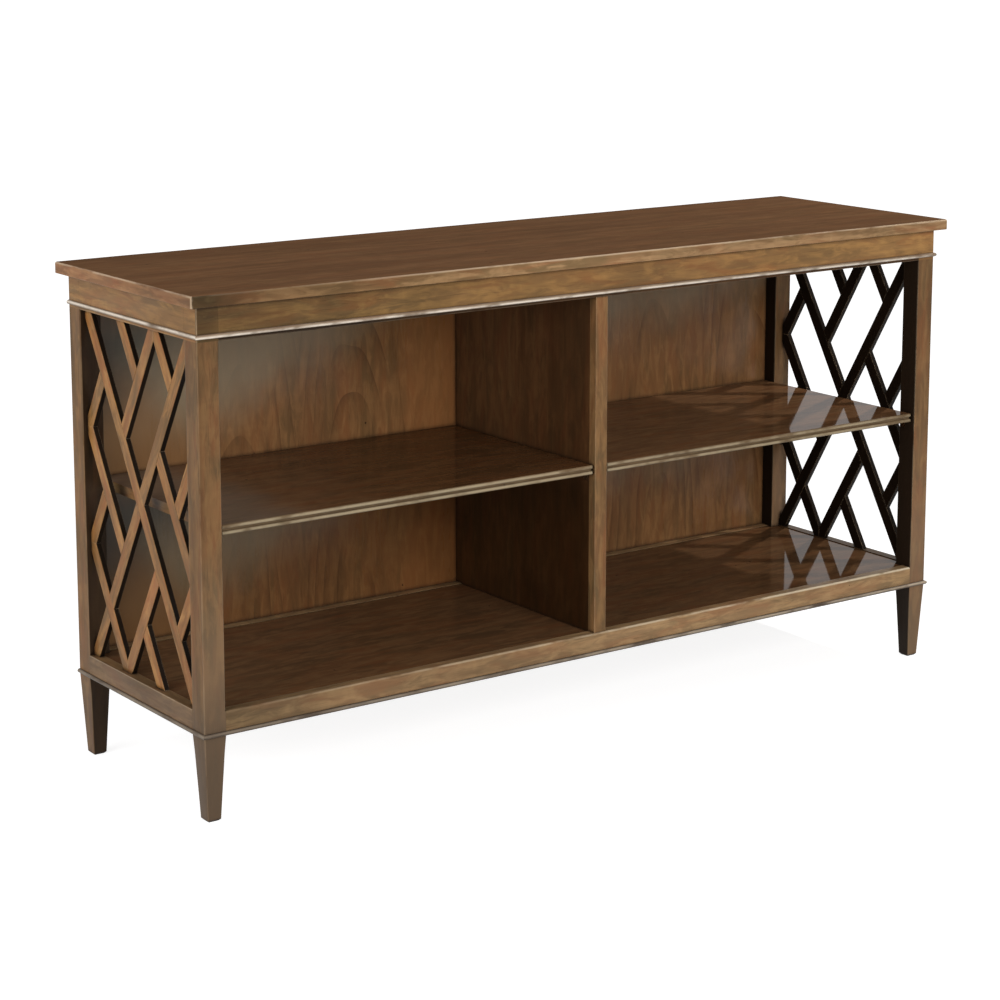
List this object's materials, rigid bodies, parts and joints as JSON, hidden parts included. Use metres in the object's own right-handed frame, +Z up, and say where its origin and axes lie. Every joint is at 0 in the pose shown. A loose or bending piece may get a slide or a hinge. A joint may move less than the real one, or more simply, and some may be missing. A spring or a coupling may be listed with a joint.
{
  "type": "bookcase",
  "caption": "Low wide two-bay bookcase with open fretwork ends, loose shelves, tapered legs and an overhanging top board.",
  "frame": {"origin": "on the floor, under the middle of the top board's plan outline", "axes": "+Z up, +X to the right seen from the front, the open front faces -Y"},
  "size_m": [1.575, 0.457, 0.831],
  "materials": {
    "top_board": "satin stained and glazed hardwood",
    "post_wood": "satin stained hardwood, worn arrises",
    "rail_wood": "satin stained hardwood, grain along the rail",
    "bead_wood": "stained hardwood, rubbed light on the crest",
    "lattice_wood": "satin stained hardwood, dark glaze in the corners",
    "shelf_wood": "polished stained hardwood, edge rubbed light",
    "deck_wood": "polished stained hardwood",
    "divider_wood": "satin stained veneer",
    "back_wood": "satin stained veneer with arched figure",
    "hidden_wood": "plain sawn hardwood",
    "pin_steel": "dull bronzed steel",
    "screw_steel": "zinc plated steel"
  },
  "bodies": {
    "carcass": {"apron_back": "rail_wood", "apron_front": "rail_wood", "apron_left": "rail_wood", "apron_right": "rail_wood", "back_panel_left": "back_wood", "back_panel_right": "back_wood", "back_screws": "screw_steel", "bottom_bead_front": "bead_wood", "bottom_bead_left": "bead_wood", "bottom_bead_right": "bead_wood", "bottom_rail_back": "rail_wood", "bottom_rail_front": "rail_wood", "bottom_rail_left": "rail_wood", "bottom_rail_right": "rail_wood", "deck_cleats": "hidden_wood", "deck_panel": "deck_wood", "divider_panel": "divider_wood", "divider_stile": "divider_wood", "lattice_left_back_lower_rising": "lattice_wood", "lattice_left_back_middle_falling": "lattice_wood", "lattice_left_back_middle_rising": "lattice_wood", "lattice_left_back_top_falling": "lattice_wood", "lattice_left_front_lower_falling": "lattice_wood", "lattice_left_front_middle_falling": "lattice_wood", "lattice_left_front_middle_rising": "lattice_wood", "lattice_left_front_top_rising": "lattice_wood", "lattice_left_long_falling": "lattice_wood", "lattice_left_long_rising": "lattice_wood", "lattice_left_lower_falling": "lattice_wood", "lattice_left_lower_rising": "lattice_wood", "lattice_left_upper_falling": "lattice_wood", "lattice_left_upper_rising": "lattice_wood", "lattice_right_back_lower_rising": "lattice_wood", "lattice_right_back_middle_falling": "lattice_wood", "lattice_right_back_middle_rising": "lattice_wood", "lattice_right_back_top_falling": "lattice_wood", "lattice_right_front_lower_falling": "lattice_wood", "lattice_right_front_middle_falling": "lattice_wood", "lattice_right_front_middle_rising": "lattice_wood", "lattice_right_front_top_rising": "lattice_wood", "lattice_right_long_falling": "lattice_wood", "lattice_right_long_rising": "lattice_wood", "lattice_right_lower_falling": "lattice_wood", "lattice_right_lower_rising": "lattice_wood", "lattice_right_upper_falling": "lattice_wood", "lattice_right_upper_rising": "lattice_wood", "post_back_left": "post_wood", "post_back_right": "post_wood", "post_front_left": "post_wood", "post_front_right": "post_wood", "shelf_pins_left": "pin_steel", "shelf_pins_right": "pin_steel", "top_bead_front": "bead_wood", "top_bead_left": "bead_wood", "top_bead_right": "bead_wood", "top_blocks": "hidden_wood", "top_panel": "top_board", "top_screws": "screw_steel"},
    "left_shelf": {"shelf_left": "shelf_wood"},
    "right_shelf": {"shelf_right": "shelf_wood"}
  },
  "joints": [
    {"name": "left_shelf_lift", "type": "slide", "parent": "carcass", "child": "left_shelf", "axis": [0, 0, 1], "range_m": [0, 0.28]},
    {"name": "right_shelf_lift", "type": "slide", "parent": "carcass", "child": "right_shelf", "axis": [0, 0, 1], "range_m": [0, 0.28]}
  ]
}
